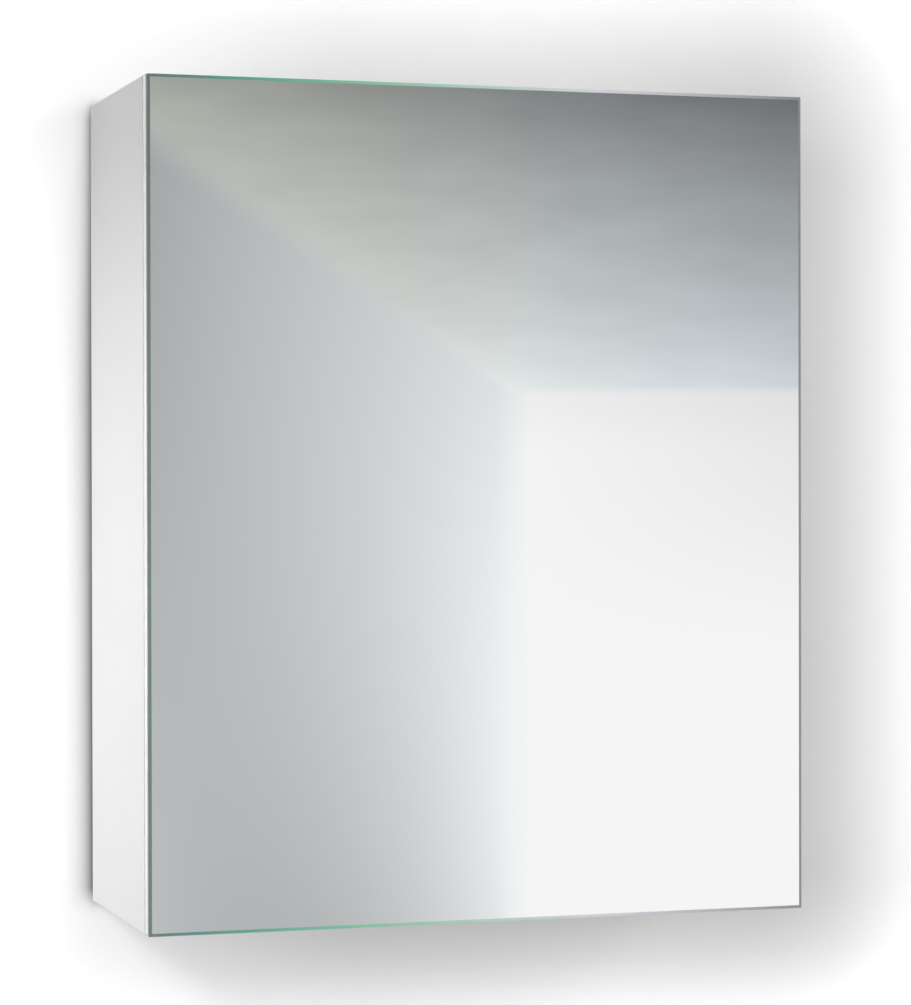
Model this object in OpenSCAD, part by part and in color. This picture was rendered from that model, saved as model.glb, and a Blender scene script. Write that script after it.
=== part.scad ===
// Mirror cabinet for a bathroom wall: a white lacquered body with glass shelves,
// and one mirror door that covers the whole front and hangs on a continuous hinge.
// X runs to the right, Y into the wall and Z up. The origin lies on the wall,
// in the middle of the four screw holes of the wall plates.

/* [Cabinet] */
// Outer width of the body and the door
cabinet_w = 500; // [420:5:600]
// Outer height of the body and the door
cabinet_h = 610; // [540:5:760]
// Depth of the body without the door
body_d = 195.5; // [170:0.5:240]
// Thickness of the side, top and bottom panels
panel_t = 16; // [15.5:0.5:19]
// Thickness of the back panel
back_t = 4; // [3:0.5:6]
// Space between the back panel and the wall, which holds the wall plates
wall_space = 18; // [16:1:24]
// Depth of the grooves that hold the back panel
groove_d = 6; // [4:0.5:8]

/* [Door] */
// Gap between the closed door and the body
door_gap = 1; // [0.9:0.1:1.5]
// Thickness of the white door board
door_board_t = 9; // [9:0.5:16]
// Thickness of the tape between the board and the mirror
tape_t = 0.5; // [0.4:0.1:1.2]
// Width of a strip of mirror tape
tape_w = 20; // [12:1:30]
// Distance from the edge of the mirror to the outer tape
tape_inset = 5; // [3:1:12]
// Thickness of the mirror glass
mirror_t = 4; // [3:0.5:6]
// Width of the polished slope round the mirror
bevel_w = 2.3; // [1:0.1:6]
// How far the polished slope drops at the edge
bevel_drop = 1; // [0.5:0.1:1.8]
// Eased edge of the lacquered boards
ease = 0.6; // [0.3:0.1:0.9]

/* [Hinge] */
// Number of knuckles along the hinge, an odd number
knuckle_n = 21; // [11:2:31]
// Outer diameter of the knuckles
knuckle_d = 3.1; // [3:0.1:3.6]
// Thickness of the hinge leaves
leaf_t = 0.7; // [0.6:0.05:0.8]
// Width of a leaf from the pin to its edge
leaf_w = 15; // [13:0.5:16]
// Distance from the end of the cabinet to the end of the hinge
hinge_end = 15; // [10:1:40]
// Number of screws in each leaf
hinge_screw_n = 8; // [4:1:12]
// Opening angle of the drawn door, 0 when closed
door_angle = 0; // [0:5:180]

/* [Shelves] */
// Thickness of the glass shelves
shelf_t = 5; // [4:0.5:8]
// How far the shelves stay behind the front edge of the body
shelf_setback = 14; // [8:1:40]
// Spacing of the shelf pin holes
pin_pitch = 32; // [25:1:40]
// From the inside of the bottom panel to the lowest pin hole
pin_margin = 145; // [100:5:180]
// Pin hole that carries the lower shelf, counted from 0 at the lowest
lower_hole_n = 1; // [0:1:2]
// Pin hole that carries the upper shelf, counted from 0 at the lowest
upper_hole_n = 7; // [5:1:8]
// Diameter of the shelf pin holes
pin_hole_d = 5; // [4.5:0.5:6]
// Depth of the shelf pin holes
pin_hole_depth = 10; // [8:0.5:12]

/* [Joinery] */
// Diameter of the cam discs that pull the panels together
cam_d = 15; // [13:0.5:18]
// From the end of a panel to the centre of its cam disc
cam_inset = 24; // [22:1:34]
// Material left under the pocket of a cam disc
cam_floor = 3.5; // [2.5:0.5:5]
// Diameter of the wooden dowels
dowel_d = 8; // [6:0.5:8]
// Distance from a cam bolt to its dowel
dowel_offset = 20; // [16:1:24]
// From the front or the back panel to the nearest cam bolt
cam_station = 37; // [30:1:42]

/* [Hangers] */
// Width of a hanger housing
housing_w = 18; // [16:1:24]
// Depth of a hanger housing
housing_d = 52; // [46:1:60]
// Height of a hanger housing
housing_h = 58; // [56:1:66]
// Space between a hanger housing and the top panel
hanger_top_gap = 5.7; // [1:0.1:20]
// Thickness of the steel hook in a hanger
hook_t = 3; // [2:0.5:4]
// Width of a wall plate
plate_w = 40; // [32:1:60]
// Thickness of a wall plate
plate_t = 2; // [1.5:0.5:3]
// Diameter of the wall screw holes
wall_hole_d = 6; // [5:0.5:7]
// Height between the two screw holes of a wall plate
wall_hole_pitch = 32; // [26:1:36]

/* [Catch] */
// Length of the magnet and its pole plates
magnet_l = 28; // [20:1:36]
// Thickness of the magnet
magnet_t = 6.2; // [5:0.2:8]
// Depth of the magnet
magnet_d = 10; // [8:0.5:12]
// Thickness of a steel pole plate
pole_t = 1.2; // [1:0.1:1.6]
// Thickness of the steel plate on the door
strike_t = 1.2; // [1:0.1:1.4]

/* [Hidden] */
$fn = 32;

// Cutting tools run this far past the face that they open
cut = 1;
// Clearance round a screw, dowel, pin or bolt in its hole, on the radius
hole_fit = 0.1;
// Clearance of the back panel in its grooves, on each side
groove_fit = 0.1;
// Gap between two pieces that meet when the door is closed
meet_gap = 0.3;

left = -1;
right = 1;
half_w = cabinet_w / 2;
inner_w = cabinet_w - 2 * panel_t;

// Heights of the hangers, counted from the wall screw holes
plate_foot = 10;
plate_half_h = wall_hole_pitch / 2 + plate_foot;
lip_offset = 7;
lip_h = 12;
lip_top_z = plate_half_h + lip_h;
hook_arm_h = 10;
hook_arm_z = lip_top_z + meet_gap;
housing_below_arm = 34;
housing_bottom_z = hook_arm_z - housing_below_arm;
housing_top_z = housing_bottom_z + housing_h;

z_ceiling = housing_top_z + hanger_top_gap;
z_top = z_ceiling + panel_t;
z_bottom = z_top - cabinet_h;
z_mid = (z_top + z_bottom) / 2;
z_floor = z_bottom + panel_t;
front_y = -body_d;
back_mid_y = -(wall_space + back_t / 2);
back_front_y = -(wall_space + back_t);

// Door, from its back face to the front of the mirror
door_back_y = front_y - door_gap;
board_front_y = door_back_y - door_board_t;
mirror_back_y = board_front_y - tape_t;
tape_upright_n = 4;

// Hinge. The pin stands just outside the right side, in the middle of the door gap
knuckle_r = knuckle_d / 2;
knuckle_bore_r = knuckle_r - leaf_t;
pin_running_fit = 0.05;
hinge_pin_r = knuckle_bore_r - pin_running_fit;
knuckle_gap = 0.3;
hinge_x = half_w + knuckle_r + meet_gap;
hinge_y = front_y - door_gap / 2;
hinge_len = cabinet_h - 2 * hinge_end;
knuckle_pitch = hinge_len / knuckle_n;
leaf_recess = knuckle_r - door_gap / 2;
leaf_notch_x = knuckle_r + knuckle_gap;
pin_head_r = 1.4;
pin_head_t = 0.8;
hinge_screw_x = half_w - panel_t / 2;
hinge_screw_end = 20;
hinge_screw_pitch = (hinge_len - 2 * hinge_screw_end) / (hinge_screw_n - 1);

// Screws: head radius, head height, shank radius, length under the head's top face
leaf_screw = [2.5, 1.25, 1.3, 13];
door_screw = [2.5, 1.25, 1.3, 7.5];
fixing_screw = [3.2, 1.6, 1.6, 13];
recess_w = 0.7;
recess_share = 0.6;
tip_l = 1.6;

// Shelf pins: a collar against the side, then a peg with a flat top and a soft pad
pin_collar_d = 9;
pin_collar_t = 1.5;
pin_peg_d = 7;
pin_peg_l = 9;
pin_flat_h = 2.2;
pin_pad_t = 0.8;
pin_pad_w = 5;
pin_row_inset = 37;
pin_rows = [front_y + pin_row_inset, back_front_y - pin_row_inset];
spare_holes = 1;
pin_hole_n = upper_hole_n + 1 + spare_holes;
pin_end_gap = 1;
shelf_end_play = 0.5;
shelf_side_gap = pin_collar_t + shelf_end_play;
shelf_back_gap = 1;
shelf_edge = 0.5;

// Cam joints, two at each corner, each with a dowel beside it
cam_cap_t = 1.5;
cam_pocket_d = cam_d;
cam_pocket_depth = panel_t - cam_floor;
cam_h = cam_pocket_depth - cam_cap_t - 2 * hole_fit;
cam_core_d = 8;
cam_core_h = 7;
cam_slot_w = 4.6;
cam_cross_share = 0.25;
bolt_thread_d = 5;
bolt_thread_l = 10.5;
bolt_hole_depth = 11;
bolt_shank_d = 6;
bolt_bore_d = 7;
bolt_neck_d = 3.6;
bolt_ball_d = 6;
dowel_l = 30;
dowel_in_side = 11;
dowel_chamfer = 1;
cam_front_y = front_y + cam_station;
cam_back_y = back_front_y - cam_station;
cam_stations = [[cam_front_y, dowel_offset], [cam_back_y, -dowel_offset]];

// Places and shapes inside the hangers
plate_edge_gap = 2;
plate_x = inner_w / 2 - plate_edge_gap - plate_w / 2;
hook_x = inner_w / 2 - housing_w / 2;
hook_nose_t = 3;
hook_nose_drop = 8;
hook_nose_gap = 0.5;
hook_nose_y = hook_nose_gap - lip_offset;
hook_block_front = 28;
hook_block_back = 10;
hook_block_rise = 8;
hook_slot_fit = 0.6;
hook_window_w = 12;
hook_window_margin = 3;
housing_cavity_d = 32;
housing_cavity_margin = 2;
housing_chamfer = 9;
ear_t = 3;
ear_l = 14;
ear_h = 24;
ear_chamfer = 5;
ear_screw_spread = 12;
adjuster_d = 5;
adjuster_head_d = 8;
adjuster_head_t = 2;
adjuster_rise = 6;

// Catch on the left side, half way up
catch_fit = 0.1;
catch_wall = 2.6;
catch_front_lap = 0.6;
catch_flange_t = 2.5;
catch_flange_l = 12;
catch_cavity_w = magnet_t + 2 * pole_t + 2 * catch_fit;
catch_body_w = catch_cavity_w + 2 * catch_wall;
catch_body_l = magnet_l + 2 * catch_wall;
catch_x = -inner_w / 2 + catch_body_w / 2;
catch_z = z_mid;
pole_front_y = door_back_y + strike_t + meet_gap;
pole_overhang = 1;
pole_d = magnet_d + pole_overhang;
catch_front_y = pole_front_y + catch_front_lap;
catch_body_d = pole_d + catch_wall;
strike_lap = 12;
strike_l = magnet_l + strike_lap;
strike_w = 14;

// Bumpers on the front edge of the left side
bumper_d = 8;
bumper_t = door_gap - meet_gap;
bumper_end = 20;

// A plate in the XZ plane whose four edges are sloped at the front face,
// at the back face or at both. Its front face lies at y = -t, its back face at 0.
module eased_plate(w, h, t, slope_w, slope_d, back_w = 0, back_d = 0) {
    intersection() {
        linear_extrude(h + 2 * cut, center = true)
            polygon(plate_profile(w / 2, t, slope_w, slope_d, back_w, back_d));
        rotate([0, 90, 0])
            linear_extrude(w + 2 * cut, center = true)
                polygon(plate_profile(h / 2, t, slope_w, slope_d, back_w, back_d));
    }
}

// Half width, thickness and slopes of a plate as the outline of its cross-section
function plate_profile(half, t, slope_w, slope_d, back_w, back_d) = concat(
    [[-half + slope_w, -t], [half - slope_w, -t], [half, -t + slope_d]],
    back_w > 0
        ? [[half, -back_d], [half - back_w, 0], [-half + back_w, 0], [-half, -back_d]]
        : [[half, 0], [-half, 0]],
    [[-half, -t + slope_d]]
);

// A countersunk screw that points down -Z from the middle of its head's top face
module countersunk_screw(size) {
    head_r = size[0];
    head_h = size[1];
    shank_r = size[2];
    length = size[3];
    difference() {
        rotate_extrude()
            polygon([
                [0, 0], [head_r, 0], [shank_r, -head_h],
                [shank_r, -length + tip_l], [0, -length]
            ]);
        cross_recess(head_r * recess_share, head_h * recess_share);
    }
}

// The hole that a countersunk screw fills, with the same clearance all round
module countersunk_hole(size) {
    head_r = size[0] + hole_fit;
    head_h = size[1];
    shank_r = size[2] + hole_fit;
    length = size[3] + hole_fit;
    rotate_extrude()
        polygon([
            [0, cut], [head_r, cut], [head_r, 0], [shank_r, -head_h],
            [shank_r, -length], [0, -length]
        ]);
}

// A crossed driver recess in a screw head, reach from the middle and depth
module cross_recess(reach, depth) {
    for (turn = [0, 90])
        rotate([0, 0, turn])
            translate([-reach, -recess_w / 2, -depth])
                cube([2 * reach, recess_w, depth + cut]);
}

// Turns a shape that points down -Z so that it points into the left or right side
module into_side(side) {
    rotate([0, -side * 90, 0]) children();
}

// Side panels

module side_blank(side) {
    translate([side * (half_w - panel_t / 2), front_y / 2, z_mid])
        cube([panel_t, body_d, cabinet_h], center = true);
}

module side_groove(side) {
    reach = groove_d + cut;
    translate([side * (inner_w / 2 + reach / 2 - cut), back_mid_y, z_mid])
        cube([reach, back_t + 2 * groove_fit, cabinet_h + 2 * cut], center = true);
}

// A round hole of this diameter and depth, drilled from the inner face of a side
module side_hole(side, d, depth, y, z) {
    translate([side * (inner_w / 2 + (depth - cut) / 2), y, z])
        rotate([0, 90, 0])
            cylinder(d = d, h = depth + cut, center = true);
}

module side_holes(side) {
    for (y = pin_rows, i = [0 : pin_hole_n - 1])
        side_hole(side, pin_hole_d, pin_hole_depth, y, pin_hole_z(i));
    for (z = [z_top - panel_t / 2, z_bottom + panel_t / 2], station = cam_stations) {
        side_hole(side, bolt_thread_d, bolt_hole_depth, station[0], z);
        side_hole(side, dowel_d, dowel_in_side + hole_fit, station[0] + station[1], z);
    }
    for (z = hanger_screw_heights())
        translate([side * (inner_w / 2 - ear_t), ear_screw_y(), z])
            into_side(side) countersunk_hole(fixing_screw);
}

function pin_hole_z(i) = z_floor + pin_margin + i * pin_pitch;

module side_left() {
    color("white")
        difference() {
            side_blank(left);
            side_groove(left);
            side_holes(left);
            at_catch_screws() into_side(left) countersunk_hole(fixing_screw);
        }
}

module side_right() {
    color("white")
        difference() {
            side_blank(right);
            side_groove(right);
            side_holes(right);
            leaf_seat_cut(front_y, 1);
            at_hinge_screws(front_y + leaf_recess - leaf_t, 1)
                countersunk_hole(leaf_screw);
        }
}

// Top and bottom panels, which stand between the sides

module deck(z_side) {
    z_deck = z_side > 0 ? z_top - panel_t / 2 : z_bottom + panel_t / 2;
    difference() {
        translate([0, front_y / 2, z_deck])
            cube([inner_w, body_d, panel_t], center = true);
        translate([0, back_mid_y, z_deck - z_side * (panel_t / 2 - (groove_d - cut) / 2)])
            cube([inner_w + 2 * cut, back_t + 2 * groove_fit, groove_d + cut], center = true);
        for (side = [left, right], station = cam_stations) {
            translate([side * (inner_w / 2 - cam_inset), station[0], z_deck])
                deck_cam_pocket(z_side);
            deck_end_hole(side, bolt_bore_d, cam_inset, station[0], z_deck);
            deck_end_hole(
                side, dowel_d, dowel_l - dowel_in_side + hole_fit,
                station[0] + station[1], z_deck
            );
        }
    }
}

module deck_cam_pocket(z_side) {
    translate([0, 0, z_side * (panel_t / 2 - (cam_pocket_depth - cut) / 2)])
        cylinder(d = cam_pocket_d, h = cam_pocket_depth + cut, center = true);
}

module deck_end_hole(side, d, depth, y, z) {
    translate([side * (inner_w / 2 - (depth - cut) / 2), y, z])
        rotate([0, 90, 0])
            cylinder(d = d, h = depth + cut, center = true);
}

module top_panel() {
    color("white") deck(1);
}

module bottom_panel() {
    color("white") deck(-1);
}

// Back panel, held in grooves on all four sides, with a window for each hook

module back_panel() {
    reach = groove_d - groove_fit;
    window_h = hook_arm_h + 2 * hook_window_margin;
    color("white")
        difference() {
            translate([0, back_mid_y, z_mid])
                cube(
                    [inner_w + 2 * reach, back_t, z_ceiling - z_floor + 2 * reach],
                    center = true
                );
            for (side = [left, right])
                translate([side * hook_x, back_mid_y, hook_arm_z + hook_arm_h / 2])
                    cube([hook_window_w, back_t + 2 * cut, window_h], center = true);
        }
}

// Dowels and cam joints at the four corners

module at_cam_stations() {
    for (side = [left, right], z_side = [-1, 1], station = cam_stations)
        translate([
            side * inner_w / 2, station[0],
            z_side > 0 ? z_top - panel_t / 2 : z_bottom + panel_t / 2
        ])
            scale([side, 1, 1])
                union() {
                    $station_offset = station[1];
                    $z_side = z_side;
                    children();
                }
}

module dowels() {
    color("burlywood")
        at_cam_stations()
            translate([dowel_in_side, $station_offset, 0])
                rotate([0, -90, 0])
                    dowel();
}

module dowel() {
    r = dowel_d / 2 - hole_fit;
    rotate_extrude()
        polygon([
            [0, 0], [r - dowel_chamfer, 0], [r, dowel_chamfer], [r, dowel_l - dowel_chamfer],
            [r - dowel_chamfer, dowel_l], [0, dowel_l]
        ]);
}

// Turned bolt: a thread in the side, a shank in the panel and a ball in the cam disc
module cam_bolts() {
    thread_r = bolt_thread_d / 2 - hole_fit;
    shank_r = bolt_shank_d / 2;
    neck_r = bolt_neck_d / 2;
    ball_r = bolt_ball_d / 2;
    shank_end = cam_inset - cam_d / 2;
    ball_join = cam_inset - sqrt(ball_r * ball_r - neck_r * neck_r);
    color("silver")
        at_cam_stations()
            rotate([0, -90, 0]) {
                rotate_extrude()
                    polygon([
                        [0, -bolt_thread_l], [thread_r, -bolt_thread_l], [thread_r, 0],
                        [shank_r, 0], [shank_r, shank_end], [neck_r, shank_end],
                        [neck_r, ball_join], [0, ball_join]
                    ]);
                translate([0, 0, cam_inset]) sphere(r = ball_r);
            }
}

// Round cam with a core that holds the ball, a slot for the neck and a cross on its face
module cam_discs() {
    color("darkgray")
        at_cam_stations()
            translate([-cam_inset, 0, 0])
                difference() {
                    translate([0, 0, $z_side * (cam_mid_offset())])
                        cylinder(d = cam_d - 2 * hole_fit, h = cam_h, center = true);
                    cylinder(d = cam_core_d, h = cam_core_h, center = true);
                    translate([cam_d / 2, 0, 0])
                        cube([cam_d, cam_slot_w, cam_core_h], center = true);
                    translate([0, 0, $z_side * (cam_mid_offset() + cam_h / 2)])
                        scale([1, 1, $z_side])
                            cross_recess(cam_d * cam_cross_share, cam_cap_t);
                }
}

// Middle of the cam disc above the middle of the panel
function cam_mid_offset() = panel_t / 2 - cam_cap_t - hole_fit - cam_h / 2;

module cam_caps() {
    color("white")
        at_cam_stations()
            translate([-cam_inset, 0, $z_side * (panel_t / 2 - cam_cap_t / 2)])
                cylinder(d = cam_d - 2 * hole_fit, h = cam_cap_t, center = true);
}

// Glass shelves on pins with soft pads

function shelf_bottom_z(hole) = pin_hole_z(hole) + pin_flat_h + pin_pad_t;

module shelf(hole) {
    shelf_back_y = back_front_y - shelf_back_gap;
    shelf_d = shelf_back_y - front_y - shelf_setback;
    color("lightcyan", 0.5)
        translate([0, shelf_back_y - shelf_d / 2, shelf_bottom_z(hole)])
            rotate([-90, 0, 0])
                eased_plate(
                    inner_w - 2 * shelf_side_gap, shelf_d, shelf_t,
                    shelf_edge, shelf_edge, shelf_edge, shelf_edge
                );
}

module shelf_lower() {
    shelf(lower_hole_n);
}

module shelf_upper() {
    shelf(upper_hole_n);
}

module at_shelf_pins() {
    for (side = [left, right], y = pin_rows, hole = [lower_hole_n, upper_hole_n])
        translate([side * inner_w / 2, y, pin_hole_z(hole)])
            scale([side, 1, 1])
                children();
}

module shelf_pins() {
    shank_r = pin_hole_d / 2 - hole_fit;
    shank_l = pin_hole_depth - pin_end_gap;
    color("silver")
        at_shelf_pins()
            difference() {
                rotate([0, -90, 0])
                    rotate_extrude()
                        polygon([
                            [0, -shank_l], [shank_r, -shank_l], [shank_r, 0],
                            [pin_collar_d / 2, 0], [pin_collar_d / 2, pin_collar_t],
                            [pin_peg_d / 2, pin_collar_t], [pin_peg_d / 2, pin_peg_l],
                            [0, pin_peg_l]
                        ]);
                translate([-pin_peg_l - cut, -pin_peg_d, pin_flat_h])
                    cube([pin_peg_l + cut - pin_collar_t, 2 * pin_peg_d, pin_peg_d]);
            }
}

module shelf_pads() {
    pad_l = pin_peg_l - shelf_side_gap - 2 * hole_fit;
    color("whitesmoke", 0.7)
        at_shelf_pins()
            translate([-pin_peg_l + hole_fit, -pin_pad_w / 2, pin_flat_h])
                cube([pad_l, pin_pad_w, pin_pad_t]);
}

// Hangers in the two upper corners, and the wall plates that they hook on

function ear_screw_y() = back_front_y - housing_d - ear_l / 2;

function hanger_screw_heights() = [
    for (up = [-1, 1])
    housing_bottom_z + housing_chamfer + (ear_h + up * ear_screw_spread) / 2
];

module hanger_housing(side) {
    x_inner = inner_w / 2 - housing_w;
    y_front = back_front_y - housing_d;
    z_low = housing_bottom_z;
    z_high = housing_top_z;
    slot_w = hook_t + 2 * hook_slot_fit;
    color("gainsboro")
        scale([side, 1, 1])
            difference() {
                union() {
                    translate([x_inner, 0, 0])
                        rotate([90, 0, 90])
                            linear_extrude(housing_w)
                                polygon([
                                    [back_front_y, z_low], [back_front_y, z_high],
                                    [y_front + housing_chamfer, z_high],
                                    [y_front, z_high - housing_chamfer],
                                    [y_front, z_low + housing_chamfer],
                                    [y_front + housing_chamfer, z_low]
                                ]);
                    translate([inner_w / 2 - ear_t, 0, 0])
                        rotate([90, 0, 90])
                            linear_extrude(ear_t)
                                polygon(ear_outline(y_front, z_low + housing_chamfer));
                }
                translate([
                    hook_x - slot_w / 2, back_front_y - housing_cavity_d,
                    hook_block_bottom() - housing_cavity_margin
                ])
                    cube([
                        slot_w, housing_cavity_d + cut,
                        hook_block_h() + 2 * housing_cavity_margin
                    ]);
                for (z = adjuster_heights())
                    translate([hook_x, y_front - cut, z])
                        rotate([-90, 0, 0])
                            cylinder(d = adjuster_d, h = housing_d - hook_block_front + cut);
                for (z = hanger_screw_heights())
                    translate([inner_w / 2 - ear_t, ear_screw_y(), z])
                        into_side(right) countersunk_hole(fixing_screw);
            }
}

// Outline of a screw ear in front of the housing, with its two free corners cut
function ear_outline(y, z) = [
    [y + cut, z], [y + cut, z + ear_h], [y - ear_l + ear_chamfer, z + ear_h],
    [y - ear_l, z + ear_h - ear_chamfer], [y - ear_l, z + ear_chamfer],
    [y - ear_l + ear_chamfer, z]
];

function hook_block_h() = hook_arm_h + 2 * hook_block_rise;
function hook_block_bottom() = hook_arm_z - hook_block_rise;
function adjuster_heights() = [
    for (up = [-1, 1])
    hook_arm_z + hook_arm_h / 2 + up * adjuster_rise
];

module hanger_housing_left() {
    hanger_housing(left);
}

module hanger_housing_right() {
    hanger_housing(right);
}

// Steel hook: a block in the housing, an arm through the back and a nose behind the lip
module hanger_hook(side) {
    arm_top = hook_arm_z + hook_arm_h;
    block_y = back_front_y - hook_block_back;
    front = back_front_y - hook_block_front;
    color("silver")
        scale([side, 1, 1])
            translate([hook_x - hook_t / 2, 0, 0])
                rotate([90, 0, 90])
                    linear_extrude(hook_t)
                        polygon([
                            [hook_nose_y + hook_nose_t, arm_top],
                            [hook_nose_y + hook_nose_t, hook_arm_z - hook_nose_drop],
                            [hook_nose_y, hook_arm_z - hook_nose_drop],
                            [hook_nose_y, hook_arm_z],
                            [block_y, hook_arm_z], [block_y, hook_block_bottom()],
                            [front, hook_block_bottom()],
                            [front, hook_block_bottom() + hook_block_h()],
                            [block_y, hook_block_bottom() + hook_block_h()],
                            [block_y, arm_top]
                        ]);
}

module hanger_hook_left() {
    hanger_hook(left);
}

module hanger_hook_right() {
    hanger_hook(right);
}

// Screws in the front of each housing that push and lift the hook
module hanger_adjusters() {
    y_front = back_front_y - housing_d;
    shank_l = housing_d - hook_block_front - meet_gap;
    shank_r = adjuster_d / 2 - hole_fit;
    color("gold")
        for (side = [left, right], z = adjuster_heights())
            translate([side * hook_x, y_front, z])
                rotate([90, 0, 0])
                    difference() {
                        rotate_extrude()
                            polygon([
                                [0, adjuster_head_t], [adjuster_head_d / 2, adjuster_head_t],
                                [adjuster_head_d / 2, 0], [shank_r, 0],
                                [shank_r, -shank_l], [0, -shank_l]
                            ]);
                        translate([0, 0, adjuster_head_t])
                            cross_recess(
                                adjuster_head_d / 2 * recess_share,
                                adjuster_head_t * recess_share
                            );
                    }
}

module hanger_screws() {
    color("silver")
        for (side = [left, right], z = hanger_screw_heights())
            translate([side * (inner_w / 2 - ear_t), ear_screw_y(), z])
                into_side(side) countersunk_screw(fixing_screw);
}

// Bent steel plate: a base on the wall, a step and a lip that stands off the wall
module wall_plate(side) {
    color("silver")
        difference() {
            translate([side * plate_x - plate_w / 2, 0, 0])
                rotate([90, 0, 90])
                    linear_extrude(plate_w)
                        polygon([
                            [0, -plate_half_h], [0, plate_half_h],
                            [-lip_offset, plate_half_h], [-lip_offset, lip_top_z],
                            [-lip_offset - plate_t, lip_top_z],
                            [-lip_offset - plate_t, plate_half_h - plate_t],
                            [-plate_t, plate_half_h - plate_t], [-plate_t, -plate_half_h]
                        ]);
            for (up = [-1, 1])
                translate([side * plate_x, cut, up * wall_hole_pitch / 2])
                    rotate([90, 0, 0])
                        cylinder(d = wall_hole_d, h = plate_t + 2 * cut);
        }
}

module wall_plate_left() {
    wall_plate(left);
}

module wall_plate_right() {
    wall_plate(right);
}

// Magnetic catch on the left side and its strike plate on the door

module at_catch_screws() {
    for (up = [-1, 1])
        translate([
            -inner_w / 2 + catch_flange_t, catch_front_y + catch_body_d / 2,
            catch_z + up * (catch_body_l + catch_flange_l) / 2
        ])
            children();
}

module catch_housing() {
    color("white")
        difference() {
            union() {
                translate([
                    catch_x - catch_body_w / 2, catch_front_y, catch_z - catch_body_l / 2
                ])
                    cube([catch_body_w, catch_body_d, catch_body_l]);
                translate([
                    -inner_w / 2, catch_front_y, catch_z - catch_body_l / 2 - catch_flange_l
                ])
                    cube([
                        catch_flange_t, catch_body_d, catch_body_l + 2 * catch_flange_l
                    ]);
            }
            translate([
                catch_x - catch_cavity_w / 2, catch_front_y - cut,
                catch_z - magnet_l / 2 - catch_fit
            ])
                cube([
                    catch_cavity_w, pole_d - catch_front_lap + catch_fit + cut,
                    magnet_l + 2 * catch_fit
                ]);
            at_catch_screws() into_side(left) countersunk_hole(fixing_screw);
        }
}

module catch_magnet() {
    color("dimgray")
        translate([
            catch_x - magnet_t / 2, pole_front_y + pole_d - magnet_d, catch_z - magnet_l / 2
        ])
            cube([magnet_t, magnet_d, magnet_l]);
}

module catch_poles() {
    color("silver")
        for (side = [left, right])
            translate([
                catch_x + side * (magnet_t + pole_t) / 2 - pole_t / 2, pole_front_y,
                catch_z - magnet_l / 2
            ])
                cube([pole_t, pole_d, magnet_l]);
}

module catch_screws() {
    color("silver")
        at_catch_screws() into_side(left) countersunk_screw(fixing_screw);
}

module door_bumpers() {
    color("whitesmoke", 0.8)
        for (z = [z_top - bumper_end, z_bottom + bumper_end])
            translate([-half_w + panel_t / 2, front_y, z])
                rotate([90, 0, 0])
                    cylinder(d = bumper_d, h = bumper_t);
}

// Continuous hinge. A leaf's facing is 1 on the body and -1 on the door

// Room for a leaf in the face at y, open at the outer edge
module leaf_seat_cut(y, facing) {
    reach = leaf_w - (hinge_x - half_w) + meet_gap + cut;
    translate([
        half_w - reach + cut, facing > 0 ? y - cut : y - leaf_recess,
        z_mid - hinge_len / 2 - meet_gap
    ])
        cube([reach, leaf_recess + cut, hinge_len + 2 * meet_gap]);
}

// Puts a screw shape on each leaf screw, with its head's top face at y
module at_hinge_screws(y, facing) {
    for (i = [0 : hinge_screw_n - 1])
        translate([
            hinge_screw_x, y,
            z_mid - hinge_len / 2 + hinge_screw_end + i * hinge_screw_pitch
        ])
            rotate([facing * 90, 0, 0])
                children();
}

// Flat leaf with every second knuckle, first knuckle 0 or 1. It lies behind the pin
// for the body and in front of it for the door
module hinge_leaf(facing, first) {
    leaf_z = z_mid - hinge_len / 2;
    difference() {
        union() {
            translate([
                hinge_x - leaf_w, hinge_y + (facing > 0 ? knuckle_bore_r : -knuckle_r), leaf_z
            ])
                cube([leaf_w - leaf_notch_x, leaf_t, hinge_len]);
            for (i = [first : 2 : knuckle_n - 1])
                translate([hinge_x, hinge_y, leaf_z + i * knuckle_pitch + knuckle_gap / 2])
                    knuckle(facing, knuckle_pitch - knuckle_gap);
        }
        at_hinge_screws(hinge_y + facing * knuckle_bore_r, facing)
            countersunk_hole(leaf_screw);
    }
}

// One knuckle rolled round the pin, with the strip that joins it to the leaf
module knuckle(facing, h) {
    linear_extrude(h)
        difference() {
            union() {
                circle(r = knuckle_r);
                translate([-leaf_notch_x - cut, facing > 0 ? knuckle_bore_r : -knuckle_r])
                    square([leaf_notch_x + cut, leaf_t]);
            }
            circle(r = knuckle_bore_r);
        }
}

module hinge_leaf_cabinet() {
    color("silver") hinge_leaf(1, 0);
}

module hinge_leaf_door() {
    color("silver") hinge_leaf(-1, 1);
}

module hinge_pin() {
    color("dimgray")
        translate([hinge_x, hinge_y, z_mid])
            rotate_extrude()
                polygon([
                    [0, -hinge_len / 2 - pin_head_t], [pin_head_r, -hinge_len / 2 - pin_head_t],
                    [pin_head_r, -hinge_len / 2], [hinge_pin_r, -hinge_len / 2],
                    [hinge_pin_r, hinge_len / 2], [pin_head_r, hinge_len / 2],
                    [pin_head_r, hinge_len / 2 + pin_head_t], [0, hinge_len / 2 + pin_head_t]
                ]);
}

module hinge_screws_cabinet() {
    color("silver")
        at_hinge_screws(hinge_y + knuckle_bore_r, 1) countersunk_screw(leaf_screw);
}

module hinge_screws_door() {
    color("silver")
        at_hinge_screws(hinge_y - knuckle_bore_r, -1) countersunk_screw(door_screw);
}

// Door

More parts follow.
